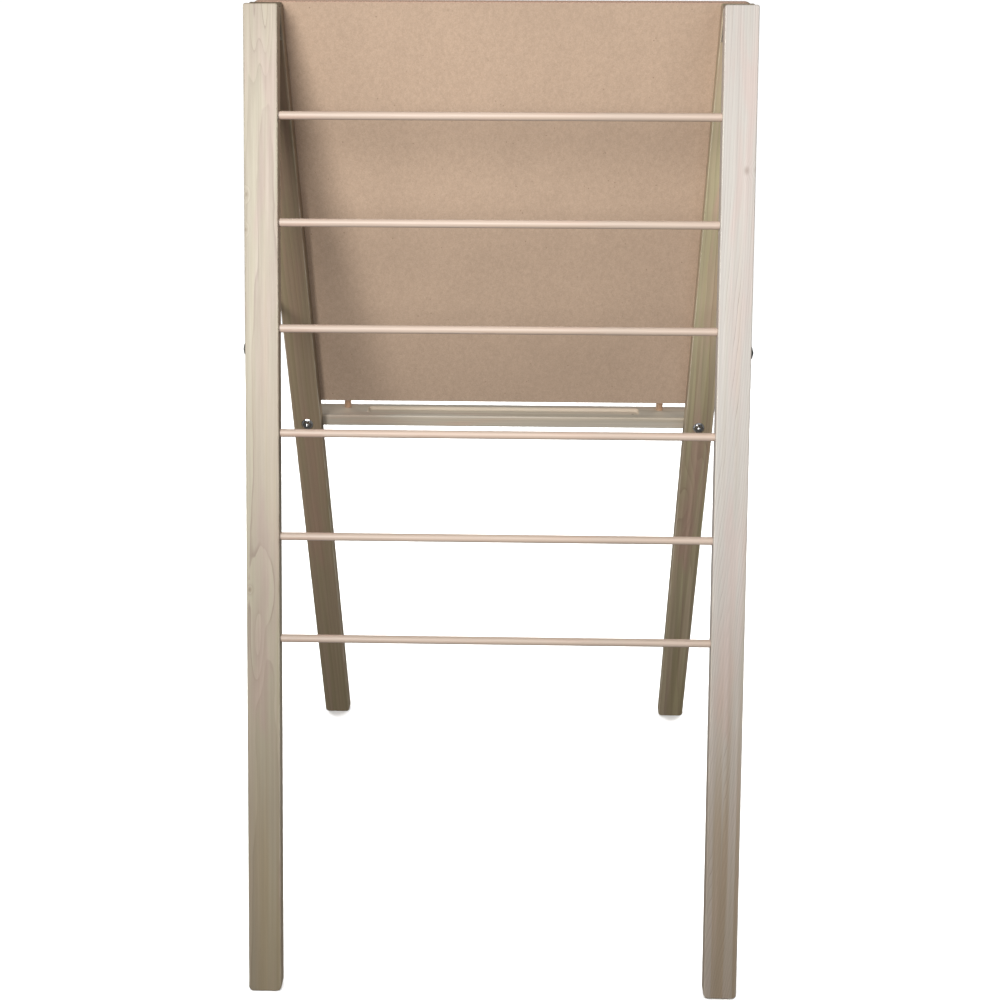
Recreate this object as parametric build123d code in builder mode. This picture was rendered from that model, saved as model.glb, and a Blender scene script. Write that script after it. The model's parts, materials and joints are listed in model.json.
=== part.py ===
"""Children's two-sided folding easel: a drying-rack frame hinged to a board frame.

Millimetres. +Z is up, the floor is Z = 0 and the hinge pins lie above the origin,
along X. The drying rack leans towards -Y and the board frame towards +Y.
"""
from build123d import *
from math import cos, radians, sin, tan
import os

# ---- driving dimensions ---------------------------------------------------
EASEL_WIDTH = 584.0        # over the outer sides of the legs
LEG_FACE_LENGTH = 1158.5   # outer face of a leg, from its top corner to the floor
LEG_WIDTH = 39.0
LEG_THICKNESS = 19.0
LEAN = radians(16.4)       # each frame from the vertical when the easel is open

FRONT = -1                 # the drying-rack frame leans to -Y
REAR = 1                   # the board frame leans to +Y
HANDS = {"left": -1, "right": 1}

EDGE_EASE = 1.8            # router pass along every long edge of the legs
FOOT_CORNER = 5.5
TOP_CORNER = 2.6
FIT = 0.05                 # radial clearance of a glued, screwed or turning fit

# hinges: butt hinges between the facing faces of the legs, just below their tops
HINGE_DROP = 11.0          # pin below the leg tops, measured along the leg
PIN_TO_WOOD = 4.0          # pin axis to the facing face of either leg
PIN_RADIUS = 1.5
PIN_PAST_LEAF = 0.6        # at each end
PIN_CHAMFER = 0.4
BARREL_RADIUS = 3.2
LEAF_LENGTH = 36.0
LEAF_HEIGHT = 27.0
LEAF_THICKNESS = 1.6
KNUCKLE = 12.0
KNUCKLE_GAP = 0.25
HINGE_SCREW_DROP = 19.0    # screws below the pin
HINGE_SCREW_SPREAD = 11.0  # screws each side of the hinge's middle
HINGE_SCREW = {"head": 3.4, "shank": 1.7, "length": 15.0}   # radii and whole length

# drying rack
DOWEL_COUNT = 6
DOWEL_RADIUS = 4.75
DOWEL_FIRST = 123.3        # below the leg tops
DOWEL_SPACING = 121.3
DOWEL_SOCKET = 13.0        # depth of the blind holes
DOWEL_END_GAP = 0.5
DOWEL_CHAMFER = 0.8

# board
BOARD_WIDTH = 583.0
BOARD_HEIGHT = 553.0
BOARD_THICKNESS = 6.4
SHEET_THICKNESS = 0.9
BOARD_CORNER = 12.0
BOARD_SCREW_DROPS = (26.0, 193.0, 360.0, 527.0)
BOARD_SCREW = {"head": 3.8, "shank": 1.75, "length": 19.5}

# level ledge under the board, its back bevelled to lie flat on the leaning legs
LEDGE_HEIGHT = 557.2       # its top above the floor
LEDGE_THICKNESS = 17.0
LEDGE_DEPTH = 55.0         # of its top, from the legs
LEDGE_EDGE = 2.5
LEDGE_END_EDGE = 1.2
GROOVE_LENGTH = 385.0
GROOVE_WIDTH = 29.0
GROOVE_DEPTH = 5.0
GROOVE_CORNER = 5.0
GROOVE_FROM_LEGS = 29.0    # its middle, across the top of the ledge
GROOVE_FLOOR_RADIUS = 3.0
PEG_RADIUS = 4.8
PEG_RISE = 40.0
PEG_SOCKET = 10.0
PEG_SPREAD = 222.0         # pegs each side of the middle
PEG_FROM_LEGS = 38.8
PEG_TOP_ROUND = 2.0

# level carriage bolts that hold the ledge on the rear legs
SPOT_FACE_RADIUS = 8.2     # square seat cut into the leaning leg for washer and nut
SPOT_FACE_DEPTH = 0.4      # at its shallowest, which is its lower side
BOLT_RADIUS = 3.1
BOLT_HEAD_RADIUS = 7.0
BOLT_HEAD_RISE = 3.4
BOLT_NECK = 6.3            # square neck, across flats
BOLT_NECK_DEPTH = 3.0
WASHER_RADIUS = 7.5
WASHER_THICKNESS = 1.2
NUT_FLATS = 11.1
NUT_HEX_HEIGHT = 5.0
NUT_CHAMFER = radians(30)  # turned on the corners of the hexagon
NUT_DOME_RADIUS = 5.2
NUT_RISE = 9.6
NUT_BORE_DEPTH = 7.6
BOLT_PAST_WASHER = 6.6

# folding stays on the outer sides of the legs
STAY_DROP = 390.0          # pivots below the leg tops
STAY_BAR_WIDTH = 12.7
STAY_BAR_THICKNESS = 1.2
STAY_SLACK = 0.1           # sideways play at a pivot
STAY_WASHER_RADIUS = 4.6
STAY_WASHER_THICKNESS = 0.5
STAY_SCREW_SHANK = 2.0
STAY_SCREW_LENGTH = 17.0   # in the wood
STAY_SCREW_HEAD = 4.2      # radius
STAY_SCREW_RISE = 1.5
STAY_BAR_GAP = 0.3         # between the two bars
RIVET_SHANK = 2.2
RIVET_HEAD = 4.2           # radius
RIVET_TAIL = 3.6           # radius
RIVET_RISE = 1.2
RIVET_SPLIT = 0.2          # the rivet is parted here, between the bars

CROSS_SLOT = 0.9           # width of a cross recess in a screw head
CROSS_DEPTH = 1.1

# ---- sizes worked out from them -------------------------------------------
LEG_CENTRE = (EASEL_WIDTH - LEG_WIDTH) / 2
LEG_INNER_SIDE = EASEL_WIDTH / 2 - LEG_WIDTH
OUTER_SIDE = EASEL_WIDTH / 2
INNER_FACE = PIN_TO_WOOD
OUTER_FACE = PIN_TO_WOOD + LEG_THICKNESS
LEG_MIDDLE = PIN_TO_WOOD + LEG_THICKNESS / 2
PIN_HEIGHT = (LEG_FACE_LENGTH - HINGE_DROP) * cos(LEAN) - OUTER_FACE * sin(LEAN)
INNER_FACE_LENGTH = LEG_FACE_LENGTH - LEG_THICKNESS * tan(LEAN)
DOWEL_DROPS = [DOWEL_FIRST + DOWEL_SPACING * i for i in range(DOWEL_COUNT)]
SHEET_FACE = OUTER_FACE + BOARD_THICKNESS + SHEET_THICKNESS
STAY_HALF_SPAN = (STAY_DROP - HINGE_DROP) * sin(LEAN) + LEG_MIDDLE * cos(LEAN)
STAY_HEIGHT = PIN_HEIGHT - (STAY_DROP - HINGE_DROP) * cos(LEAN) + LEG_MIDDLE * sin(LEAN)
# distances of the stay's layers from the middle of the easel
FRONT_BAR_INSIDE = OUTER_SIDE + STAY_WASHER_THICKNESS + STAY_SLACK
FRONT_BAR_OUTSIDE = FRONT_BAR_INSIDE + STAY_BAR_THICKNESS
REAR_BAR_INSIDE = FRONT_BAR_OUTSIDE + STAY_BAR_GAP
REAR_BAR_OUTSIDE = REAR_BAR_INSIDE + STAY_BAR_THICKNESS



def rear_leg_y(out, height):
    """Where a face of the rear legs stands at a height above the floor."""
    return (PIN_HEIGHT - height) * tan(LEAN) + out / cos(LEAN)


LEDGE_BACK = rear_leg_y(OUTER_FACE, LEDGE_HEIGHT)
LEDGE_FRONT = LEDGE_BACK + LEDGE_DEPTH
BOLT_HEIGHT = LEDGE_HEIGHT - LEDGE_THICKNESS / 2
NUT_SEAT = rear_leg_y(INNER_FACE, BOLT_HEIGHT) + SPOT_FACE_RADIUS * tan(LEAN) + SPOT_FACE_DEPTH

FROM_BASE = (Align.CENTER, Align.CENTER, Align.MIN)
TO_TOP = (Align.CENTER, Align.CENTER, Align.MAX)


# ---- working planes -------------------------------------------------------
def point(side, x, drop, out):
    """A place on a frame: drop runs down from the leg tops, out away from the hinge pins."""
    along = drop - HINGE_DROP
    y = side * (along * sin(LEAN) + out * cos(LEAN))
    return Vector(x, y, PIN_HEIGHT - along * cos(LEAN) + out * sin(LEAN))


def side_plane(side, x):
    """Seen from the side: local X runs down the leg from its top, local Y points outward."""
    return Plane(point(side, x, 0, 0), x_dir=(0, side * sin(LEAN), -cos(LEAN)), z_dir=(side, 0, 0))


def outward(side, x, drop, out):
    """Faces away from the other frame."""
    return Plane(point(side, x, drop, out), x_dir=(1, 0, 0), z_dir=(0, side * cos(LEAN), sin(LEAN)))


def inward(side, x, drop, out):
    """Faces the other frame."""
    return Plane(point(side, x, drop, out), x_dir=(1, 0, 0), z_dir=(0, -side * cos(LEAN), -sin(LEAN)))


def sideways(side, hand, x, drop, out):
    """Faces away from the middle of the easel along X, at x from the middle."""
    return Plane(point(side, hand * x, drop, out), x_dir=(0, 1, 0), z_dir=(hand, 0, 0))


def stay_pivot(side, hand, x):
    return sideways(side, hand, x, STAY_DROP, LEG_MIDDLE)


def board_screw_spots(hands):
    """On the writing face, each facing into the wood."""
    return [inward(REAR, hand * LEG_CENTRE, drop, SHEET_FACE) for hand in hands
            for drop in BOARD_SCREW_DROPS]


def hinge_screw_spots(side, hand):
    """On the bare face of a hinge leaf, each facing into the wood."""
    return [outward(side, hand * LEG_CENTRE + step, HINGE_DROP + HINGE_SCREW_DROP,
                    INNER_FACE - LEAF_THICKNESS)
            for step in (-HINGE_SCREW_SPREAD, HINGE_SCREW_SPREAD)]


def bolt_spots(hands, y, facing):
    """On the level axes of the tray bolts: facing is 1 away from the hinges, -1 towards them."""
    return [Plane((hand * LEG_CENTRE, y, BOLT_HEIGHT), x_dir=(1, 0, 0), z_dir=(0, facing, 0))
            for hand in hands]


# ---- shapes shared by several pieces --------------------------------------
def countersunk_screw(spots, head, shank, length, slack=0, mode=Mode.ADD):
    """Flat-headed wood screw; the rim of its head is level with the spot, which faces the wood."""
    with Locations(*spots):
        Cone(head + slack, shank + slack, head - shank, align=FROM_BASE, mode=mode)
        Cylinder(shank + slack, length + slack, align=FROM_BASE, mode=mode)


def cross_recess(spots, reach):
    """Cross recess cut down into a screw head from the spot, which faces out of the head."""
    with Locations(*spots):
        for size in ((reach, CROSS_SLOT), (CROSS_SLOT, reach)):
            Box(*size, CROSS_DEPTH, align=TO_TOP, mode=Mode.SUBTRACT)


def domed_head(spots, radius, rise):
    """Low dome that stands on the spot."""
    ball = (radius ** 2 + rise ** 2) / (2 * rise)
    with BuildPart(mode=Mode.PRIVATE) as dome:
        with BuildSketch(Plane.XZ):
            with BuildLine():
                ThreePointArc((0, rise), (radius / 2, rise - ball + (ball ** 2 - (radius / 2) ** 2) ** 0.5),
                              (radius, 0))
                Polyline((radius, 0), (0, 0), (0, rise))
            make_face()
        revolve(axis=Axis.Z)
    with Locations(*spots):
        add(dome.part)


def finish(piece, label):
    piece.part.label = label
    export_step(piece.part, f"parts/{label}.step")


# ---- legs -----------------------------------------------------------------
def make_leg(side, side_name, hand_name):
    hand = HANDS[hand_name]
    centre = hand * LEG_CENTRE
    across = Axis((0, 0, 0), (0, side * cos(LEAN), sin(LEAN)))
    with BuildPart() as leg:
        with BuildSketch(side_plane(side, centre)):
            with BuildLine():
                Polyline((0, INNER_FACE), (0, OUTER_FACE), (LEG_FACE_LENGTH, OUTER_FACE),
                         (INNER_FACE_LENGTH, INNER_FACE), close=True)
            make_face()
        extrude(amount=LEG_WIDTH / 2, both=True)
        fillet(leg.edges().filter_by(Axis.Y), FOOT_CORNER)
        fillet(leg.edges().filter_by(across), TOP_CORNER)
        fillet(leg.edges().filter_by(lambda edge: edge.length > LEG_FACE_LENGTH / 2), EDGE_EASE)
        countersunk_screw(hinge_screw_spots(side, hand), **HINGE_SCREW, slack=FIT, mode=Mode.SUBTRACT)
        with Locations(stay_pivot(side, hand, OUTER_SIDE)):
            Cylinder(STAY_SCREW_SHANK + FIT, STAY_SCREW_LENGTH + FIT, align=TO_TOP, mode=Mode.SUBTRACT)
        if side == FRONT:
            drill_dowel_sockets(hand)
        else:
            countersunk_screw(board_screw_spots([hand]), **BOARD_SCREW, slack=FIT, mode=Mode.SUBTRACT)
            drill_bolt_hole(hand)
    finish(leg, f"{side_name}_leg_{hand_name}")


def drill_dowel_sockets(hand):
    with Locations(*[sideways(FRONT, hand, LEG_INNER_SIDE, drop, LEG_MIDDLE) for drop in DOWEL_DROPS]):
        Cylinder(DOWEL_RADIUS + FIT, DOWEL_SOCKET, align=FROM_BASE, mode=Mode.SUBTRACT)


def drill_bolt_hole(hand):
    """Level hole through the leg, with its spot face on the side of the nut."""
    with Locations(*bolt_spots([hand], NUT_SEAT, -1)):
        Cylinder(BOLT_RADIUS + FIT, 2 * LEG_THICKNESS, align=TO_TOP, mode=Mode.SUBTRACT)
        Cylinder(SPOT_FACE_RADIUS, LEG_THICKNESS, align=FROM_BASE, mode=Mode.SUBTRACT)


# ---- drying rack ----------------------------------------------------------
def make_dowel(number):
    half_length = LEG_INNER_SIDE + DOWEL_SOCKET - DOWEL_END_GAP
    with BuildPart() as dowel:
        with BuildSketch(side_plane(FRONT, 0)):
            with Locations((DOWEL_DROPS[number], LEG_MIDDLE)):
                Circle(DOWEL_RADIUS)
        extrude(amount=half_length, both=True)
        chamfer(dowel.edges(), DOWEL_CHAMFER)
    finish(dowel, f"drying_dowel_{number + 1}")


# ---- board ----------------------------------------------------------------
def make_panel(label, inside, thickness):
    """A flat sheet on the outer faces of the rear legs, drilled for the board screws."""
    with BuildPart() as panel:
        with BuildSketch(outward(REAR, 0, BOARD_HEIGHT / 2, inside)):
            RectangleRounded(BOARD_WIDTH, BOARD_HEIGHT, BOARD_CORNER)
        extrude(amount=thickness)
        countersunk_screw(board_screw_spots(HANDS.values()), **BOARD_SCREW, slack=FIT, mode=Mode.SUBTRACT)
    finish(panel, label)


def make_board_screws():
    spots = board_screw_spots(HANDS.values())
    with BuildPart() as screws:
        countersunk_screw(spots, **BOARD_SCREW)
        cross_recess([-spot for spot in spots], BOARD_SCREW["head"])
    finish(screws, "board_screws")


# ---- ledge ----------------------------------------------------------------
def make_ledge():
    with BuildPart() as ledge:
        with BuildSketch(Plane.YZ):
            with BuildLine():
                bottom = LEDGE_HEIGHT - LEDGE_THICKNESS
                Polyline((LEDGE_BACK, LEDGE_HEIGHT), (LEDGE_FRONT, LEDGE_HEIGHT), (LEDGE_FRONT, bottom),
                         (rear_leg_y(OUTER_FACE, bottom), bottom), close=True)
            make_face()
        extrude(amount=EASEL_WIDTH / 2, both=True)
        fillet(ledge.edges().filter_by(Axis.X), LEDGE_EDGE)
        fillet(ledge.faces().filter_by(Axis.X).edges(), LEDGE_END_EDGE)
        rout_groove(ledge)
        with Locations(*[(x, LEDGE_BACK + PEG_FROM_LEGS, LEDGE_HEIGHT) for x in (-PEG_SPREAD, PEG_SPREAD)]):
            Cylinder(PEG_RADIUS + FIT, PEG_SOCKET, align=TO_TOP, mode=Mode.SUBTRACT)
        neck = BOLT_NECK + 2 * FIT
        with Locations(*bolt_spots(HANDS.values(), LEDGE_FRONT, 1)):
            Cylinder(BOLT_RADIUS + FIT, LEDGE_DEPTH, align=TO_TOP, mode=Mode.SUBTRACT)
            Box(neck, neck, BOLT_NECK_DEPTH + FIT, align=TO_TOP, mode=Mode.SUBTRACT)
    finish(ledge, "tray_ledge")


def rout_groove(ledge):
    """Pencil groove with a rounded floor, cut down into the top of the ledge."""
    with BuildPart(mode=Mode.PRIVATE) as cutter:
        with BuildSketch(Plane.XY.offset(LEDGE_HEIGHT)):
            with Locations((0, LEDGE_BACK + GROOVE_FROM_LEGS)):
                RectangleRounded(GROOVE_LENGTH, GROOVE_WIDTH, GROOVE_CORNER)
        extrude(amount=-GROOVE_DEPTH)
        fillet(cutter.faces().sort_by(Axis.Z)[0].edges(), GROOVE_FLOOR_RADIUS)
    add(cutter.part, mode=Mode.SUBTRACT)


def make_peg(hand_name):
    with BuildPart() as peg:
        with BuildSketch(Plane.XY.offset(LEDGE_HEIGHT + PEG_RISE)):
            with Locations((HANDS[hand_name] * PEG_SPREAD, LEDGE_BACK + PEG_FROM_LEGS)):
                Circle(PEG_RADIUS)
        extrude(amount=-(PEG_RISE + PEG_SOCKET - DOWEL_END_GAP))
        fillet(peg.edges().group_by(Axis.Z)[-1], PEG_TOP_ROUND)
    finish(peg, f"tray_peg_{hand_name}")


def make_bolts():
    """Carriage bolts with square necks, their heads on the front of the ledge."""
    spots = bolt_spots(HANDS.values(), LEDGE_FRONT, 1)
    length = LEDGE_FRONT - NUT_SEAT + WASHER_THICKNESS + BOLT_PAST_WASHER
    with BuildPart() as bolts:
        domed_head(spots, BOLT_HEAD_RADIUS, BOLT_HEAD_RISE)
        with Locations(*spots):
            Cylinder(BOLT_RADIUS, length, align=TO_TOP)
            Box(BOLT_NECK, BOLT_NECK, BOLT_NECK_DEPTH, align=TO_TOP)
    finish(bolts, "tray_bolts")


def make_bolt_washers():
    with BuildPart() as washers:
        with Locations(*bolt_spots(HANDS.values(), NUT_SEAT, -1)):
            Cylinder(WASHER_RADIUS, WASHER_THICKNESS, align=FROM_BASE)
            Cylinder(BOLT_RADIUS + FIT, WASHER_THICKNESS, align=FROM_BASE, mode=Mode.SUBTRACT)
    finish(washers, "tray_bolt_washers")


def make_cap_nuts():
    """Hexagon with its corners turned off, and a dome over the end of the bolt."""
    dome_base = NUT_RISE - NUT_DOME_RADIUS
    flat_radius = NUT_FLATS / 2
    with BuildPart(mode=Mode.PRIVATE) as nut:
        with BuildSketch():
            RegularPolygon(flat_radius, 6, major_radius=False)
        extrude(amount=NUT_HEX_HEIGHT)
        Cone(flat_radius + NUT_HEX_HEIGHT / tan(NUT_CHAMFER), flat_radius, NUT_HEX_HEIGHT,
             align=FROM_BASE, mode=Mode.INTERSECT)
        Cylinder(NUT_DOME_RADIUS, dome_base, align=FROM_BASE)
        with Locations((0, 0, dome_base)):
            Sphere(NUT_DOME_RADIUS, arc_size1=0, align=FROM_BASE)
        Cylinder(BOLT_RADIUS + FIT, NUT_BORE_DEPTH, align=FROM_BASE, mode=Mode.SUBTRACT)
    with BuildPart() as nuts:
        with Locations(*bolt_spots(HANDS.values(), NUT_SEAT - WASHER_THICKNESS, -1)):
            add(nut.part)
    finish(nuts, "tray_cap_nuts")


# ---- hinges ---------------------------------------------------------------
def make_hinge_leaf(side, side_name, hand_name):
    """The front leaf carries the two end knuckles, the rear leaf the middle one."""
    hand = HANDS[hand_name]
    centre = hand * LEG_CENTRE
    foreign_knuckles = [0] if side == FRONT else [-KNUCKLE, KNUCKLE]
    leaf_middle = HINGE_DROP + LEAF_HEIGHT / 2
    with BuildPart() as leaf:
        with BuildSketch(side_plane(side, centre)):
            with Locations((HINGE_DROP, 0)):
                Circle(BARREL_RADIUS)
            with Locations((leaf_middle, INNER_FACE - LEAF_THICKNESS / 2)):
                Rectangle(LEAF_HEIGHT, LEAF_THICKNESS)
        extrude(amount=LEAF_LENGTH / 2, both=True)
        for step in foreign_knuckles:
            with BuildSketch(side_plane(side, centre + step)):
                with Locations((HINGE_DROP, 0)):
                    Circle(BARREL_RADIUS + KNUCKLE_GAP)
            extrude(amount=KNUCKLE / 2 + KNUCKLE_GAP, both=True, mode=Mode.SUBTRACT)
        with BuildSketch(side_plane(side, centre)):
            with Locations((HINGE_DROP, 0)):
                Circle(PIN_RADIUS + FIT)
        extrude(amount=LEAF_LENGTH / 2, both=True, mode=Mode.SUBTRACT)
        countersunk_screw(hinge_screw_spots(side, hand), **HINGE_SCREW, slack=FIT, mode=Mode.SUBTRACT)
    finish(leaf, f"hinge_leaf_{side_name}_{hand_name}")


def make_hinge_pin(hand_name):
    with BuildPart() as pin:
        with BuildSketch(side_plane(REAR, HANDS[hand_name] * LEG_CENTRE)):
            with Locations((HINGE_DROP, 0)):
                Circle(PIN_RADIUS)
        extrude(amount=LEAF_LENGTH / 2 + PIN_PAST_LEAF, both=True)
        chamfer(pin.edges(), PIN_CHAMFER)
    finish(pin, f"hinge_pin_{hand_name}")


def make_hinge_screws(side, side_name):
    spots = [spot for hand in HANDS.values() for spot in hinge_screw_spots(side, hand)]
    with BuildPart() as screws:
        countersunk_screw(spots, **HINGE_SCREW)
        cross_recess([-spot for spot in spots], HINGE_SCREW["head"])
    finish(screws, f"hinge_screws_{side_name}")


# ---- folding stays --------------------------------------------------------
def make_stay_bar(side, side_name, hand_name):
    """Flat bar with round ends, from a leg's pivot to the middle of the stay."""
    hand = HANDS[hand_name]
    inside = FRONT_BAR_INSIDE if side == FRONT else REAR_BAR_INSIDE
    with BuildPart() as bar:
        with BuildSketch(Plane.YZ.offset(hand * inside)):
            with Locations((side * STAY_HALF_SPAN / 2, STAY_HEIGHT)):
                SlotCenterToCenter(STAY_HALF_SPAN, STAY_BAR_WIDTH)
            with Locations((side * STAY_HALF_SPAN, STAY_HEIGHT)):
                Circle(STAY_SCREW_SHANK + FIT, mode=Mode.SUBTRACT)
            with Locations((0, STAY_HEIGHT)):
                Circle(RIVET_SHANK + FIT, mode=Mode.SUBTRACT)
        extrude(amount=hand * STAY_BAR_THICKNESS)
    finish(bar, f"stay_{side_name}_bar_{hand_name}")


def make_stay_screws(side, side_name):
    """Pan-head screws: the bar turns on the shank, under the head."""
    bar_outside = FRONT_BAR_OUTSIDE if side == FRONT else REAR_BAR_OUTSIDE
    seat = bar_outside + STAY_SLACK
    spots = [stay_pivot(side, hand, seat) for hand in HANDS.values()]
    with BuildPart() as screws:
        domed_head(spots, STAY_SCREW_HEAD, STAY_SCREW_RISE)
        with Locations(*spots):
            Cylinder(STAY_SCREW_SHANK, seat - OUTER_SIDE + STAY_SCREW_LENGTH, align=TO_TOP)
        cross_recess([spot.offset(STAY_SCREW_RISE) for spot in spots], STAY_SCREW_HEAD)
    finish(screws, f"stay_screws_{side_name}")


def make_stay_washers(side, side_name):
    """Between leg and bar; the rear ones are thicker, because the rear bar lies outside."""
    bar_inside = FRONT_BAR_INSIDE if side == FRONT else REAR_BAR_INSIDE
    thickness = bar_inside - STAY_SLACK - OUTER_SIDE
    with BuildPart() as washers:
        with Locations(*[stay_pivot(side, hand, OUTER_SIDE) for hand in HANDS.values()]):
            Cylinder(STAY_WASHER_RADIUS, thickness, align=FROM_BASE)
            Cylinder(STAY_SCREW_SHANK + FIT, thickness, align=FROM_BASE, mode=Mode.SUBTRACT)
    finish(washers, f"stay_washers_{side_name}")


def make_stay_rivet(hand_name):
    """One rivet in two halves, so that either bar carries the half that lies in it."""
    hand = HANDS[hand_name]
    centre_plane = Plane((0, 0, STAY_HEIGHT), x_dir=(0, 1, 0), z_dir=(hand, 0, 0))
    parting = (FRONT_BAR_OUTSIDE + REAR_BAR_INSIDE) / 2
    with BuildPart() as head:
        domed_head([centre_plane.offset(REAR_BAR_OUTSIDE)], RIVET_HEAD, RIVET_RISE)
        with Locations(centre_plane.offset(REAR_BAR_OUTSIDE)):
            Cylinder(RIVET_SHANK, REAR_BAR_OUTSIDE - parting - RIVET_SPLIT / 2, align=TO_TOP)
    finish(head, f"stay_rivet_head_{hand_name}")

    back_plane = Plane((hand * FRONT_BAR_INSIDE, 0, STAY_HEIGHT), x_dir=(0, 1, 0), z_dir=(-hand, 0, 0))
    with BuildPart() as tail:
        domed_head([back_plane], RIVET_TAIL, RIVET_RISE)
        with Locations(back_plane):
            Cylinder(RIVET_SHANK, parting - RIVET_SPLIT / 2 - FRONT_BAR_INSIDE, align=TO_TOP)
    finish(tail, f"stay_rivet_tail_{hand_name}")


# ---- the easel ------------------------------------------------------------
os.makedirs("parts", exist_ok=True)

for frame_side, frame_name in ((FRONT, "front"), (REAR, "rear")):
    for hand_side in HANDS:
        make_leg(frame_side, frame_name, hand_side)
        make_hinge_leaf(frame_side, frame_name, hand_side)
        make_stay_bar(frame_side, frame_name, hand_side)
    make_hinge_screws(frame_side, frame_name)
    make_stay_screws(frame_side, frame_name)
    make_stay_washers(frame_side, frame_name)

for index in range(DOWEL_COUNT):
    make_dowel(index)

make_panel("board_panel", OUTER_FACE, BOARD_THICKNESS)
make_panel("marker_sheet", OUTER_FACE + BOARD_THICKNESS, SHEET_THICKNESS)
make_board_screws()

make_ledge()
make_bolts()
make_bolt_washers()
make_cap_nuts()

for hand_side in HANDS:
    make_peg(hand_side)
    make_hinge_pin(hand_side)
    make_stay_rivet(hand_side)
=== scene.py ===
import json
from math import cos, radians, sin

import bmesh
import bpy
from mathutils import Matrix, Vector


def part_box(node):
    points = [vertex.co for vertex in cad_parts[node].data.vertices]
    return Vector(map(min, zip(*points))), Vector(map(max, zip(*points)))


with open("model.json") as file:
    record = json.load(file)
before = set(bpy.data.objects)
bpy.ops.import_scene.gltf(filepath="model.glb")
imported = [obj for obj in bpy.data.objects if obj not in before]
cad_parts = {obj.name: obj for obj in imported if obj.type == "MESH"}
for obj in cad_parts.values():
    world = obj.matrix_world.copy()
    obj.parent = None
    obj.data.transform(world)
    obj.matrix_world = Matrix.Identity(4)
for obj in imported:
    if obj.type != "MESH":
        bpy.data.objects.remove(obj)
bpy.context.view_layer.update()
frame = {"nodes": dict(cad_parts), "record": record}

# ---- driving values -------------------------------------------------------
LEAN = radians(16.4)          # each frame from the vertical
LEG_WIDTH = 0.039
LEG_THICKNESS = 0.019
PIN_TO_WOOD = 0.004
PIN_BELOW_TOPS = 0.011        # along the legs
FRONT = -1                    # the drying rack leans to -Y
REAR = 1
HANDS = {"left": -1, "right": 1}

GROOVE_LENGTH = 0.385
GROOVE_WIDTH = 0.029
GROOVE_FROM_LEGS = 0.029
PIN_KNOT = (0.028, 0.184)     # in the groove, from the legs and along the ledge

PIN_HEIGHT = sum(corner.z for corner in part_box("hinge_pin_left")) / 2
LEG_MIDDLE = PIN_TO_WOOD + LEG_THICKNESS / 2

CAMERA_PLACE = (0.0395, -1.714, 1.1717)
CAMERA_YAW = 1.30             # degrees to the left
CAMERA_PITCH = -21.32         # degrees, below level
CAMERA_ROLL = 0.15
CAMERA_LENS = 51.1            # mm on a 36 mm sensor

KEY_PLACE = (-0.54, -1.90, 1.62)
KEY_TARGET = (0.0, -0.05, 0.95)
KEY_WIDTH = 1.00
KEY_HEIGHT = 1.30
KEY_WATTS = 10.8
KEY_COLOUR = (1.0, 0.985, 0.965)
KEY_SPREAD = 74               # degrees, like the other spreads
FILL_PLACE = (1.3, -2.3, 1.5)
FILL_TARGET = (0, 0, 0.9)
FILL_SIZE = 1.6
FILL_WATTS = 4.0
FILL_COLOUR = (0.97, 0.985, 1.0)
FILL_SPREAD = 110
BACK_ASIDE = 2.1              # two lamps behind the easel, as far to each side
BACK_BEHIND = 2.3
BACK_ABOVE = 1.0
BACK_TARGET = (0, 0.1, 0.65)
BACK_SIZE = 1.5
BACK_WATTS = 32
BACK_COLOUR = (1, 1, 1)
BACK_SPREAD = 130
WORLD_STRENGTH = 0.13
WASH_STRENGTH = 3.1
WASH_ANGLE = 60               # degrees; a wide sun makes faint shadows

FLOOR_RADIUS = 5.0
FLOOR_CENTRE_RADIUS = 0.5     # the first ring of the floor's mesh
WALL_CURVE = 2.4              # radius of the bend between floor and wall
WALL_TOP = 7.0
WALL_GLOW = 0.93
CURVE_STEPS = 12
STAGE_TURNS = 72

SHARP_CORNER = radians(32)    # faces that meet at more than this stay sharp


# ---- shader helpers -------------------------------------------------------
def srgb(red, green, blue):
    """A colour given as it looks on a screen, 0 to 255, in the linear values that shaders use."""
    def linear(value):
        value /= 255
        return value / 12.92 if value <= 0.04045 else ((value + 0.055) / 1.055) ** 2.4
    return (linear(red), linear(green), linear(blue), 1)


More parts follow.
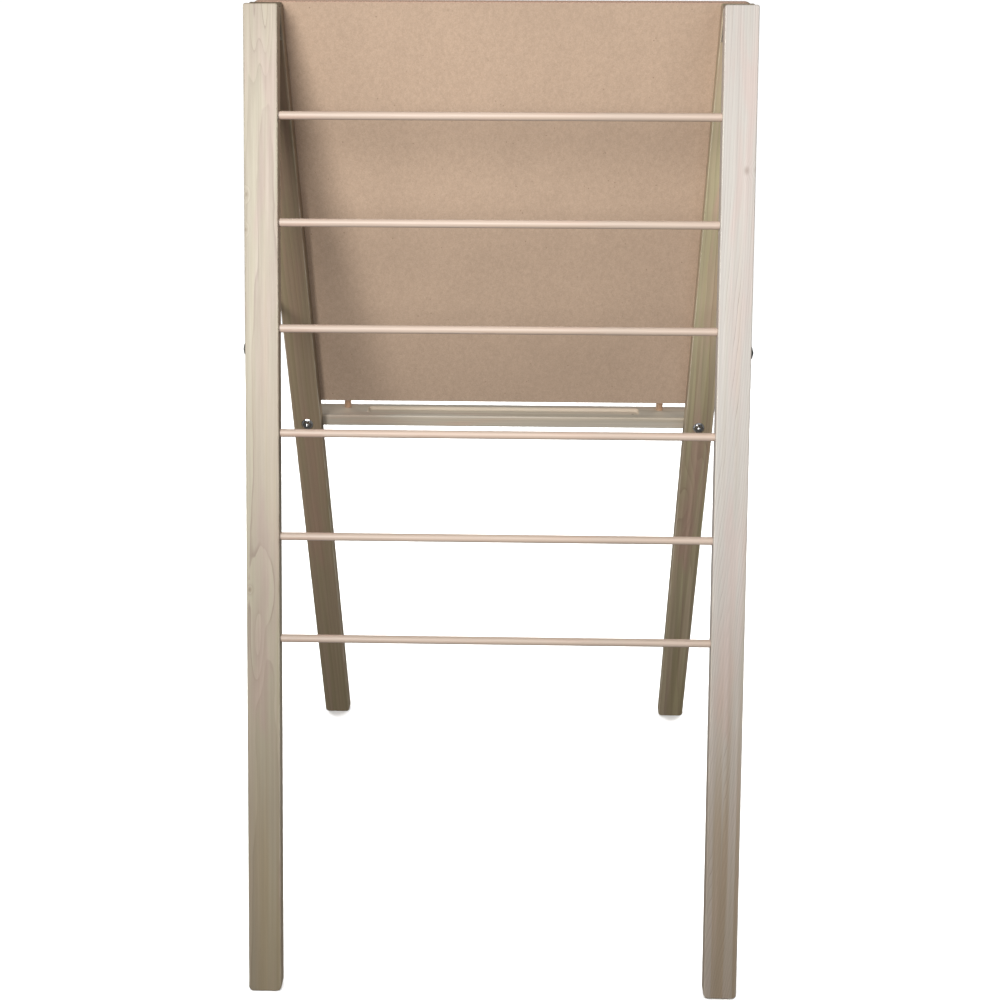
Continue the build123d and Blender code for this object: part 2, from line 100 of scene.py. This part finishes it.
class Shader:
    """One node material, with short names for the nodes that it is made of."""

    def __init__(self, name):
        self.material = bpy.data.materials.new(name)
        self.material.use_nodes = True
        self.tree = self.material.node_tree
        self.tree.nodes.clear()
        self.place = self.node("ShaderNodeTexCoord", "Object")

    def node(self, kind, output=0, inputs=None, **settings):
        """Adds a node, sets or links its inputs, and returns one of its outputs."""
        made = self.tree.nodes.new(kind)
        for key, value in settings.items():
            setattr(made, key, value)
        for key, value in (inputs or {}).items():
            if isinstance(value, bpy.types.NodeSocket):
                self.tree.links.new(value, made.inputs[key])
            else:
                made.inputs[key].default_value = value
        return made.outputs[output]

    def math(self, operation, *values):
        return self.node("ShaderNodeMath", inputs=dict(enumerate(values)), operation=operation)

    def add(self, first, second):
        return self.math("ADD", first, second)

    def times(self, first, second):
        return self.math("MULTIPLY", first, second)

    def moved(self, vector, shift=(0, 0, 0), turn=(0, 0, 0), stretch=(1, 1, 1)):
        inputs = {"Vector": vector, "Location": shift, "Rotation": turn, "Scale": stretch}
        return self.node("ShaderNodeMapping", inputs=inputs)

    def parts(self, vector):
        split = self.node("ShaderNodeSeparateXYZ", inputs={0: vector}).node
        return split.outputs[0], split.outputs[1], split.outputs[2]

    def joined(self, x, y, z):
        return self.node("ShaderNodeCombineXYZ", inputs={0: x, 1: y, 2: z})

    def noise(self, vector, stretch, detail=2.0, roughness=0.5, distortion=0.0):
        """Noise of about stretch features per metre along each axis, from 0 to 1."""
        inputs = {"Vector": self.moved(vector, stretch=stretch), "Scale": 1.0, "Detail": detail,
                  "Roughness": roughness, "Distortion": distortion}
        return self.node("ShaderNodeTexNoise", inputs=inputs)

    def swing(self, vector, stretch, reach, detail=2.0):
        """Noise that swings by reach to either side of 0."""
        return self.times(self.add(self.noise(vector, stretch, detail), -0.5), 2 * reach)

    def step(self, value, low, high, low_value=0.0, high_value=1.0):
        """Smooth rise from low_value at low to high_value at high."""
        inputs = {"Value": value, "From Min": low, "From Max": high,
                  "To Min": low_value, "To Max": high_value}
        return self.node("ShaderNodeMapRange", inputs=inputs, interpolation_type="SMOOTHSTEP")

    def mix(self, factor, first, second, blend="MIX"):
        inputs = {0: factor, 6: first, 7: second}
        return self.node("ShaderNodeMix", 2, inputs, data_type="RGBA", blend_type=blend)

    def shade(self, colour, factor):
        """Multiplies a colour by a plain number."""
        return self.mix(1.0, colour, self.joined(factor, factor, factor), "MULTIPLY")

    def bump(self, height, distance, strength=1.0, normal=None):
        inputs = {"Height": height, "Distance": distance, "Strength": strength}
        if normal:
            inputs["Normal"] = normal
        return self.node("ShaderNodeBump", inputs=inputs)

    def finish(self, colour, roughness, normal, **constants):
        inputs = {"Base Color": colour, "Roughness": roughness, "Normal": normal}
        inputs.update({key.replace("_", " "): value for key, value in constants.items()})
        surface = self.node("ShaderNodeBsdfPrincipled", inputs=inputs)
        output = self.tree.nodes.new("ShaderNodeOutputMaterial")
        self.tree.links.new(surface, output.inputs["Surface"])
        return self.material


def dress(node, material):
    """Gives a CAD node its material."""
    slots = frame["nodes"][node].material_slots
    for slot in slots:
        slot.material = material
    if not slots:
        frame["nodes"][node].data.materials.append(material)


# ---- wood -----------------------------------------------------------------
def leg_space(shader, side, across_middle):
    """Coordinates of a leaning piece: across from its middle, through it, and up the leg from the pin."""
    lean_back = Matrix.Rotation(-side * LEAN, 3, "X")
    shift = -(lean_back @ Vector((across_middle, 0, PIN_HEIGHT)))
    shift.y -= side * LEG_MIDDLE
    return shader.moved(shader.place, shift=shift, turn=(-side * LEAN, 0, 0))


def swell(shader, space, spot, half_width, half_length):
    """1 at a spot (across, along) of a face, fading smoothly to 0 at the half width and half length."""
    across, _, along = shader.parts(space)
    aside = shader.times(shader.add(across, -spot[0]), 1 / half_width)
    up = shader.times(shader.add(along, -spot[1]), 1 / half_length)
    distance = shader.math("SQRT", shader.add(shader.times(aside, aside), shader.times(up, up)))
    return shader.step(distance, 0.0, 1.0, 1.0, 0.0)


def ring_count(shader, space, look):
    """Years of growth from the pith, which slants through the piece; the tree's growth wandered."""
    across, through, along = shader.parts(space)
    across = shader.add(across, -look["pith"][0])
    through = shader.add(through, -look["pith"][1])
    squares = shader.add(shader.times(across, across), shader.times(through, through))
    slant = shader.times(along, look["taper"])
    bend = shader.times(shader.times(along, along), look.get("bend", 0.0))
    radius = shader.add(shader.math("SQRT", squares), shader.add(slant, bend))
    radius = shader.add(radius, shader.swing(space, look["wander_scale"], look["wander"]))
    uneven_years = shader.moved(space, shift=(7, 1, 4))
    radius = shader.add(radius, shader.swing(uneven_years, (75, 75, 2.0), look["uneven"]))
    ragged = shader.moved(space, shift=(2, 3, 1))
    radius = shader.add(radius, shader.swing(ragged, (190, 190, 34), look["ragged"]))
    for spot, size in look.get("knots", ()):
        push = shader.times(swell(shader, space, spot, 3.2 * size, 5.5 * size), 1.6 * look["spacing"])
        radius = shader.add(radius, push)
    for spot, half_width, half_length, years in look.get("figures", ()):
        push = shader.times(swell(shader, space, spot, half_width, half_length), years * look["spacing"])
        radius = shader.add(radius, push)
    return shader.math("DIVIDE", radius, look["spacing"])


OTHER_DRAW = 31.7             # shifts a noise, so that it isn't the same as another one


def wood(name, place, look, marks=None):
    """Satin-lacquered wood. place makes the piece's own coordinates, with the grain along the third."""
    shader = Shader(name)
    space = place(shader)
    years = ring_count(shader, space, look)
    season = shader.math("FRACT", years)
    line = shader.times(shader.step(season, 0.84, 0.965), shader.step(season, 0.965, 1.0, 1.0, 0.0))
    summer = shader.times(shader.step(season, 0.1, 0.95), shader.step(season, 0.95, 1.0, 1.0, 0.0))
    year_tint = shader.node("ShaderNodeTexWhiteNoise", 0, {"W": shader.math("FLOOR", years)},
                            noise_dimensions="1D")
    year_strength = shader.node("ShaderNodeTexWhiteNoise", 0,
                                {"W": shader.add(shader.math("FLOOR", years), OTHER_DRAW)},
                                noise_dimensions="1D")
    fading = shader.step(shader.noise(space, (70, 70, 5), detail=1), 0.34, 0.64, 0.1, 1.0)
    fading = shader.times(fading, shader.math("MULTIPLY_ADD", year_strength, 0.75, 0.25))
    fibres = shader.noise(space, (900, 900, 11), detail=3, roughness=0.6)
    streaks = shader.noise(shader.moved(space, shift=(5, 0, 7)), (210, 210, 3.2), detail=3)
    pores = shader.noise(space, (3200, 3200, 120), detail=1)
    patches = shader.noise(shader.moved(space, shift=(1, 4, 0)), (60, 60, 3.6), detail=3)
    clouds = shader.noise(shader.moved(space, shift=(9, 2, 5)), (42, 42, 5.5), detail=3, distortion=0.3)

    tinted = shader.mix(shader.times(year_tint, look["year_tint"]), look["tone"], look["cool"])
    colour = shader.mix(shader.times(shader.step(patches, 0.40, 0.66), 0.8), tinted, look["cool"])
    colour = shader.mix(shader.step(clouds, 0.50, 0.70), colour, look["warm"])
    stripes = shader.noise(shader.moved(space, shift=(6, 8, 3)), (70, 70, 2.0), detail=2)
    striped = shader.times(shader.step(stripes, 0.52, 0.66), look["stripe_depth"])
    colour = shader.mix(striped, colour, look["stripe"])
    colour = shader.shade(colour, shader.step(streaks, 0.30, 0.70, 0.94, 1.045))
    colour = shader.shade(colour, shader.step(fibres, 0.25, 0.75, 0.965, 1.03))
    colour = shader.mix(shader.times(summer, look["summer"]), colour, look["latewood"])
    colour = shader.mix(shader.times(shader.times(line, fading), look["line"]), colour, look["latewood"])
    colour = shader.shade(colour, shader.step(pores, 0.24, 0.36, 0.93, 1.0))
    for spot, size in look.get("knots", ()):
        stain = shader.times(swell(shader, space, spot, 1.5 * size, 2.4 * size), look["knot_depth"])
        colour = shader.mix(stain, colour, look["knot"])
    # darker towards the feet: partly heartwood colour, partly painted shade for the light falling off down
    # the legs
    if "heartwood_and_painted_shade" in look:
        start, full, tint = look["heartwood_and_painted_shade"]
        along = shader.parts(space)[2]
        uneven = shader.add(along, shader.swing(space, (40, 40, 5), 0.05))
        bands = shader.noise(shader.moved(space, shift=(3, 1, 8)), (120, 120, 1.8), detail=2)
        banded = shader.step(bands, 0.42, 0.58, 1.15, 0.66)
        dark = shader.times(shader.step(uneven, full, start, 1.0, 0.0), banded)
        colour = shader.mix(dark, colour, tint, "MULTIPLY")
    if marks:
        colour = marks(shader, space, colour)

    roughness = shader.step(fibres, 0.2, 0.8, 0.54, 0.42)
    relief = shader.add(shader.times(fibres, 0.6), shader.times(pores, 0.4))
    normal = shader.bump(relief, 0.0002, 0.3)
    normal = shader.bump(line, 0.00015, 0.2, normal)
    return shader.finish(colour, roughness, normal, Coat_Weight=0.08, Coat_Roughness=0.4)


END_GRAIN_SHADE = 0.22
WEAR_AND_HIGHLIGHT_FROM = 0.0022            # inside the leg's corner the paler arris, wear and painted highlight, starts here,
WEAR_AND_HIGHLIGHT_TO = 0.0004              # and is full here


def cut_ends_and_edges(shader, space, colour):
    """Legs: darker end grain at the tops, and paler arrises, partly polished by handling and partly a
    painted highlight on the rounded edges.
    """
    across, through, along = shader.parts(space)
    end = shader.step(along, PIN_BELOW_TOPS - 0.0009, PIN_BELOW_TOPS - 0.0003)
    colour = shader.shade(colour, shader.math("MULTIPLY_ADD", end, -END_GRAIN_SHADE, 1.0))
    side, face = LEG_WIDTH / 2, LEG_THICKNESS / 2
    near_side = shader.step(shader.math("ABSOLUTE", across), side - WEAR_AND_HIGHLIGHT_FROM, side - WEAR_AND_HIGHLIGHT_TO)
    near_face = shader.step(shader.math("ABSOLUTE", through), face - WEAR_AND_HIGHLIGHT_FROM, face - WEAR_AND_HIGHLIGHT_TO)
    # the paler arrises are edge wear and painted highlight
    wear_and_highlight = shader.times(near_side, near_face)
    patchy = shader.noise(space, (90, 90, 28), detail=2)
    wear_and_highlight = shader.times(wear_and_highlight, shader.step(patchy, 0.35, 0.65, 0.3, 1.0))
    return shader.mix(shader.times(wear_and_highlight, 0.35), colour, srgb(236, 228, 210))


FLAT_SAWN = {"wander_scale": (30, 30, 6), "wander": 0.0022, "uneven": 0.0006, "ragged": 0.00028,
             "summer": 0.14, "knot_depth": 0.6}
RIFT_SAWN = {"wander_scale": (17, 17, 2.4), "wander": 0.0046, "uneven": 0.0036, "ragged": 0.00055,
             "summer": 0.12, "knot_depth": 0.5}

YELLOW_POPLAR = dict(
    FLAT_SAWN, tone=srgb(172, 160, 142), cool=srgb(167, 159, 138), warm=srgb(170, 153, 139),
    stripe=srgb(168, 154, 122), stripe_depth=0.3,
    latewood=srgb(112, 90, 80), knot=srgb(112, 94, 72), line=0.80, year_tint=0.9,
    pith=(0.006, 0.060), taper=0.007, spacing=0.0036,
    figures=(((-0.006, 0.012), 0.0105, 0.125, 2.3), ((0.006, 0.016), 0.0110, 0.135, 3.0),
             ((0.003, -0.660), 0.022, 0.100, 1.7), ((-0.006, -0.730), 0.011, 0.075, 1.8)),
    knots=(((-0.0165, -0.203), 0.0022), ((-0.0175, -0.243), 0.0018), ((-0.0155, -0.660), 0.0022)),
    heartwood_and_painted_shade=(-0.70, -1.10, (0.98, 0.91, 0.84, 1)))
PALE_POPLAR = dict(
    RIFT_SAWN, tone=srgb(200, 193, 187), cool=srgb(195, 191, 184), warm=srgb(201, 187, 180),
    stripe=srgb(184, 174, 154), stripe_depth=0.35,
    latewood=srgb(142, 124, 118), knot=srgb(132, 112, 98), line=0.85, year_tint=0.9,
    pith=(-0.190, 0.110), taper=-0.004, bend=0.075, spacing=0.0027,
    knots=(((0.0090, -0.173), 0.0032), ((0.0195, -0.172), 0.0024)),
    heartwood_and_painted_shade=(-0.58, -1.05, (0.72, 0.61, 0.49, 1)))
# the two rear legs' looks are darker than the front legs': partly browner wood, partly painted shade
SHADED_POPLAR = dict(
    FLAT_SAWN, tone=srgb(149, 130, 108), cool=srgb(142, 128, 102), warm=srgb(150, 126, 106),
    stripe=srgb(136, 124, 92), stripe_depth=0.4,
    latewood=srgb(106, 87, 70), line=0.45, year_tint=0.8,
    pith=(-0.060, -0.075), taper=0.008, spacing=0.0040)
SHADED_PALE_POPLAR = dict(
    FLAT_SAWN, tone=srgb(183, 166, 140), cool=srgb(176, 167, 134), warm=srgb(184, 158, 138),
    stripe=srgb(164, 152, 112), stripe_depth=0.5,
    latewood=srgb(116, 92, 76), line=0.60, year_tint=0.9,
    pith=(0.030, -0.070), taper=-0.014, spacing=0.0042,
    figures=(((-0.004, -0.700), 0.020, 0.090, 2.0), ((0.010, -0.640), 0.010, 0.050, 1.2)),
    heartwood_and_painted_shade=(-0.34, -0.66, (0.66, 0.63, 0.63, 1)))
LEG_LOOKS = {
    ("front", "left"): YELLOW_POPLAR, ("front", "right"): PALE_POPLAR,
    ("rear", "left"): SHADED_POPLAR, ("rear", "right"): SHADED_PALE_POPLAR,
}


def dress_legs():
    for (frame_name, hand_name), look in LEG_LOOKS.items():
        node = f"{frame_name}_leg_{hand_name}"
        side = FRONT if frame_name == "front" else REAR
        middle = sum(corner.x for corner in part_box(node)) / 2
        material = wood(f"poplar_{frame_name}_{hand_name}",
                        lambda shader: leg_space(shader, side, middle), look, cut_ends_and_edges)
        dress(node, material)


# ---- dowels and pegs ------------------------------------------------------
BIRCH = dict(
    RIFT_SAWN, tone=srgb(206, 184, 168), cool=srgb(200, 184, 170), warm=srgb(208, 176, 160),
    stripe=srgb(196, 170, 146), stripe_depth=0.4,
    latewood=srgb(176, 146, 126), line=0.35, year_tint=0.6,
    taper=0.004, spacing=0.0023)
# the pegs' birch: browner wood, and darker still as painted shade from the board above them
BROWN_AND_SHADED_BIRCH = dict(
    BIRCH, tone=srgb(186, 156, 130), cool=srgb(178, 154, 128), warm=srgb(188, 148, 118),
    latewood=srgb(138, 104, 80), line=0.5)


def dowel_space(shader, middle, axis):
    """Coordinates of a round piece about its own middle, with its length as the third."""
    centred = shader.moved(shader.place, shift=-middle)
    x, y, z = shader.parts(centred)
    return shader.joined(y, z, x) if axis == "X" else centred


def dress_dowels():
    names = [node for node in frame["nodes"] if node.startswith(("drying_dowel", "tray_peg"))]
    for number, node in enumerate(sorted(names)):
        low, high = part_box(node)
        axis = "X" if node.startswith("drying_dowel") else "Z"
        middle = (low + high) / 2
        birch = BIRCH if axis == "X" else BROWN_AND_SHADED_BIRCH
        look = dict(birch, pith=(0.006 + 0.002 * (number % 3), 0.012 - 0.003 * (number % 4)))
        material = wood(f"birch_{node}", lambda shader: dowel_space(shader, middle, axis), look)
        dress(node, material)


# ---- ledge ----------------------------------------------------------------
LEDGE_WOOD = dict(
    RIFT_SAWN, tone=srgb(200, 187, 168), cool=srgb(192, 184, 170), warm=srgb(202, 183, 164),
    stripe=srgb(180, 166, 142), stripe_depth=0.4,
    latewood=srgb(150, 134, 120), line=0.5, year_tint=0.8,
    pith=(0.020, -0.050), taper=0.004, spacing=0.0040)


def ledge_space(shader):
    """Across the ledge from the legs, through its thickness, and along it."""
    low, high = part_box("tray_ledge")
    x, y, z = shader.parts(shader.moved(shader.place, shift=(0, -low.y, -high.z)))
    return shader.joined(y, z, x)


def routed_groove(shader, space, colour):
    """The routed groove is paler than the lacquered top, with a pin knot near its right end."""
    across, depth, along = shader.parts(space)
    half = GROOVE_LENGTH / 2
    inside = shader.step(shader.math("ABSOLUTE", along), half - 0.0004, half, 1.0, 0.0)
    aside = shader.math("ABSOLUTE", shader.add(across, -GROOVE_FROM_LEGS))
    inside = shader.times(inside, shader.step(aside, GROOVE_WIDTH / 2 - 0.0004, GROOVE_WIDTH / 2, 1.0, 0.0))
    inside = shader.times(inside, shader.step(depth, -0.0008, -0.0003, 1.0, 0.0))
    colour = shader.mix(shader.times(inside, 0.45), colour, srgb(226, 212, 192))
    knot = shader.times(swell(shader, space, PIN_KNOT, 0.008, 0.0030), 0.75)
    return shader.mix(knot, colour, srgb(92, 70, 56))


def dress_ledge():
    dress("tray_ledge", wood("ledge_poplar", ledge_space, LEDGE_WOOD, routed_groove))


# ---- fibreboard and marker sheet ------------------------------------------
BOARD_PAINTED_SHADE = (-0.62, -0.30)    # painted shade towards the ledge, along the board from the pin: where it is full, and where it starts


def dress_board():
    """Raw fibreboard: felted fibres, dark specks, a pinker cut edge, and painted shade that darkens it a
    little near the ledge.
    """
    shader = Shader("raw_fibreboard")
    space = leg_space(shader, REAR, 0)
    across, _, along = shader.parts(space)
    fine = shader.noise(space, (900, 900, 900), detail=3, roughness=0.65)
    felt = shader.noise(shader.moved(space, shift=(2, 0, 1)), (260, 260, 190), detail=3, roughness=0.6)
    blotches = shader.noise(space, (9, 9, 7), detail=2)
    specks = shader.node("ShaderNodeTexVoronoi", 0, {"Vector": space, "Scale": 150.0, "Randomness": 1.0})
    rare = shader.noise(shader.moved(space, shift=(4, 4, 4)), (55, 55, 55), detail=1)

    colour = shader.mix(shader.step(fine, 0.3, 0.7), srgb(177, 153, 132), srgb(190, 166, 145))
    colour = shader.shade(colour, shader.step(felt, 0.28, 0.72, 0.95, 1.05))
    colour = shader.shade(colour, shader.step(blotches, 0.3, 0.7, 0.97, 1.03))
    # painted shade: the board a little darker towards the ledge
    colour = shader.shade(colour, shader.step(along, *BOARD_PAINTED_SHADE, 0.90, 1.0))
    dot = shader.times(shader.step(specks, 0.10, 0.16, 1.0, 0.0), shader.step(rare, 0.60, 0.70))
    colour = shader.mix(shader.times(dot, 0.45), colour, srgb(108, 82, 62))
    low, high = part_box("board_panel")
    side_edge = shader.step(shader.math("ABSOLUTE", across), high.x - 0.0012, high.x - 0.0006)
    top_edge = shader.step(along, PIN_BELOW_TOPS - 0.0010, PIN_BELOW_TOPS - 0.0004)
    edge = shader.math("MAXIMUM", side_edge, top_edge)
    colour = shader.mix(shader.times(edge, 0.6), colour, srgb(196, 160, 142))

    height = shader.add(shader.times(fine, 0.6), shader.times(felt, 0.4))
    normal = shader.bump(height, 0.0003, shader.step(edge, 0, 1, 0.35, 0.9))
    dress("board_panel", shader.finish(colour, shader.step(fine, 0.2, 0.8, 0.92, 0.78), normal,
                                       Specular_IOR_Level=0.25))


def dress_marker_sheet():
    """Glossy white melamine with the faint waviness of a pressed sheet and a few wiping marks."""
    shader = Shader("white_marker_sheet")
    space = leg_space(shader, REAR, 0)
    wave = shader.noise(space, (22, 22, 22), detail=2)
    wipes = shader.noise(shader.moved(space, turn=(0, radians(24), 0)), (9, 9, 160), detail=2)
    grime = shader.noise(space, (7, 7, 5), detail=3)
    colour = shader.mix(shader.step(grime, 0.45, 0.8), srgb(241, 242, 240), srgb(236, 237, 234))
    roughness = shader.step(wipes, 0.35, 0.75, 0.14, 0.24)
    normal = shader.bump(wave, 0.0006, 0.2)
    dress("marker_sheet", shader.finish(colour, roughness, normal, Coat_Weight=0.3, Coat_Roughness=0.08))


# ---- metal and nylon ------------------------------------------------------
def steel(name, tone, dull, rough_low, rough_high, scratch=0.25):
    """Plated steel: cloudy plating, fine scratches, duller in patches."""
    shader = Shader(name)
    clouds = shader.noise(shader.place, (420, 420, 420), detail=3)
    scratches = shader.noise(shader.moved(shader.place, turn=(0.4, 0.2, 0.6)), (6000, 500, 500), detail=2)
    colour = shader.mix(shader.step(clouds, 0.3, 0.75), tone, dull)
    roughness = shader.add(shader.step(clouds, 0.25, 0.75, rough_low, rough_high),
                           shader.step(scratches, 0.4, 0.8, 0.0, 0.06))
    normal = shader.bump(scratches, 0.00005, scratch)
    return shader.finish(colour, roughness, normal, Metallic=1.0)


def black_paint():
    """Satin black paint on the stays, with a little orange peel and dust."""
    shader = Shader("black_stay_paint")
    peel = shader.noise(shader.place, (1100, 1100, 1100), detail=2)
    dust = shader.noise(shader.place, (130, 130, 130), detail=3)
    colour = shader.mix(shader.step(dust, 0.45, 0.85), srgb(34, 33, 32), srgb(58, 55, 52))
    roughness = shader.step(dust, 0.3, 0.8, 0.34, 0.52)
    normal = shader.bump(peel, 0.00012, 0.3)
    return shader.finish(colour, roughness, normal, Specular_IOR_Level=0.5)


def nylon():
    shader = Shader("nylon_washers")
    haze = shader.noise(shader.place, (700, 700, 700), detail=2)
    colour = shader.mix(haze, srgb(232, 230, 220), srgb(222, 218, 206))
    normal = shader.bump(haze, 0.0001, 0.2)
    return shader.finish(colour, shader.step(haze, 0.3, 0.7, 0.42, 0.5), normal, Subsurface_Weight=0.1,
                         Subsurface_Scale=0.001)


def dress_hardware():
    zinc = steel("zinc_plate", srgb(205, 206, 208), srgb(176, 177, 176), 0.24, 0.38)
    hinge = steel("hinge_zinc", srgb(196, 194, 188), srgb(164, 162, 156), 0.30, 0.44)
    nickel = steel("bright_nickel", srgb(178, 178, 180), srgb(150, 149, 148), 0.07, 0.13, 0.12)
    black = black_paint()
    white = nylon()
    finishes = {"zinc_steel": zinc, "hinge_steel": hinge, "bright_nut": nickel, "stay_steel": black,
                "washer_nylon": white}
    for part in frame["record"]["subparts"]:
        if part["material_slot"] in finishes:
            dress(part["node"], finishes[part["material_slot"]])


# ---- stage, light, camera -------------------------------------------------
def make_stage():
    """A plain pale floor that curves up into a plain pale wall all round, well away from the easel."""
    profile = [(FLOOR_CENTRE_RADIUS, 0.0), (FLOOR_RADIUS, 0.0)]
    for number in range(1, CURVE_STEPS + 1):
        angle = radians(90) * number / CURVE_STEPS
        profile.append((FLOOR_RADIUS + WALL_CURVE * sin(angle), WALL_CURVE - WALL_CURVE * cos(angle)))
    profile.append((FLOOR_RADIUS + WALL_CURVE, WALL_TOP))
    angles = [radians(360) * number / STAGE_TURNS for number in range(STAGE_TURNS)]
    mesh = bmesh.new()
    rims = []
    for radius, level in profile:
        rims.append([mesh.verts.new((radius * cos(a), radius * sin(a), level)) for a in angles])
    mesh.faces.new(rims[0])
    for inner, outer in zip(rims, rims[1:]):
        for number in range(STAGE_TURNS):
            after = (number + 1) % STAGE_TURNS
            mesh.faces.new((inner[number], outer[number], outer[after], inner[after]))
    bmesh.ops.recalc_face_normals(mesh, faces=mesh.faces)
    for face in mesh.faces:
        face.smooth = True
    data = bpy.data.meshes.new("floor")
    mesh.to_mesh(data)
    mesh.free()
    floor = bpy.data.objects.new("floor", data)
    bpy.context.scene.collection.objects.link(floor)
    data.materials.append(pale_paper())
    for kind in ("diffuse", "glossy", "transmission", "shadow"):
        setattr(floor, f"visible_{kind}", False)
    return floor


def pale_paper():
    """White studio paper; it glows as it turns up into the wall, where the wash light fades."""
    shader = Shader("pale_floor")
    tooth = shader.noise(shader.place, (60, 60, 60), detail=2)
    colour = shader.mix(tooth, (0.92, 0.92, 0.92, 1), (0.90, 0.90, 0.90, 1))
    height = shader.parts(shader.place)[2]
    upright = shader.math("MINIMUM", shader.times(height, 1 / WALL_CURVE), 1.0)
    glow = shader.times(upright, WALL_GLOW)
    paper = shader.finish(colour, 0.9, shader.bump(tooth, 0.0002, 0.1), Specular_IOR_Level=0.0,
                          Emission_Color=(1, 1, 1, 1), Emission_Strength=glow)
    paper.cycles.emission_sampling = "NONE"
    return paper


def area_light(name, place, target, width, height, watts, colour, spread):
    """An oval lamp at a place, turned to its target; spread is the full angle of its beam."""
    data = bpy.data.lights.new(name, "AREA")
    data.shape = "ELLIPSE"
    data.size = width
    data.size_y = height
    data.energy = watts
    data.color = colour
    data.spread = radians(spread)
    light = bpy.data.objects.new(name, data)
    light.location = place
    light.rotation_euler = (Vector(target) - Vector(place)).to_track_quat("-Z", "Y").to_euler()
    bpy.context.scene.collection.objects.link(light)
    return light


def wash_light(floor):
    """A very soft light for the floor alone, so that it stays pale round an easel lit from the front."""
    data = bpy.data.lights.new("floor_wash", "SUN")
    data.energy = WASH_STRENGTH
    data.angle = radians(WASH_ANGLE)
    light = bpy.data.objects.new("floor_wash", data)
    only_floor = bpy.data.collections.new("floor_only")
    only_floor.objects.link(floor)
    light.light_linking.receiver_collection = only_floor
    bpy.context.scene.collection.objects.link(light)


def make_light(floor):
    area_light("key", KEY_PLACE, KEY_TARGET, KEY_WIDTH, KEY_HEIGHT, KEY_WATTS, KEY_COLOUR, KEY_SPREAD)
    area_light("fill", FILL_PLACE, FILL_TARGET, FILL_SIZE, FILL_SIZE, FILL_WATTS, FILL_COLOUR, FILL_SPREAD)
    for hand_name, hand in HANDS.items():
        place = (BACK_ASIDE * hand, BACK_BEHIND, BACK_ABOVE)
        lamp = area_light(f"back_{hand_name}", place, BACK_TARGET, BACK_SIZE, BACK_SIZE, BACK_WATTS,
                          BACK_COLOUR, BACK_SPREAD)
        lamp.visible_glossy = False    # no mirror image of the lamp in the white sheet
    wash_light(floor)
    world = bpy.data.worlds.new("studio")
    world.use_nodes = True
    background = world.node_tree.nodes["Background"]
    background.inputs["Color"].default_value = (1, 1, 1, 1)
    background.inputs["Strength"].default_value = WORLD_STRENGTH
    bpy.context.scene.world = world


def make_camera():
    data = bpy.data.cameras.new("camera")
    data.sensor_width = 36
    data.lens = CAMERA_LENS
    camera = bpy.data.objects.new("camera", data)
    turn = Matrix.Rotation(radians(CAMERA_YAW), 4, "Z")
    tilt = Matrix.Rotation(radians(90 + CAMERA_PITCH), 4, "X")
    roll = Matrix.Rotation(radians(CAMERA_ROLL), 4, "Z")
    camera.matrix_world = Matrix.Translation(CAMERA_PLACE) @ turn @ tilt @ roll
    bpy.context.scene.collection.objects.link(camera)
    bpy.context.scene.camera = camera


def plain_colours():
    """Colours as the shaders give them, with no film look laid over."""
    bpy.context.scene.view_settings.view_transform = "Standard"


def smooth_round_faces():
    """Shades the rounded edges, dowels and screws smooth, and keeps real corners sharp."""
    for piece in frame["nodes"].values():
        piece.data.shade_smooth()
        piece.data.set_sharp_from_angle(angle=SHARP_CORNER)


# ---- the easel ------------------------------------------------------------
make_camera()
make_light(make_stage())
plain_colours()
smooth_round_faces()
dress_legs()
dress_dowels()
dress_ledge()
dress_board()
dress_marker_sheet()
dress_hardware()
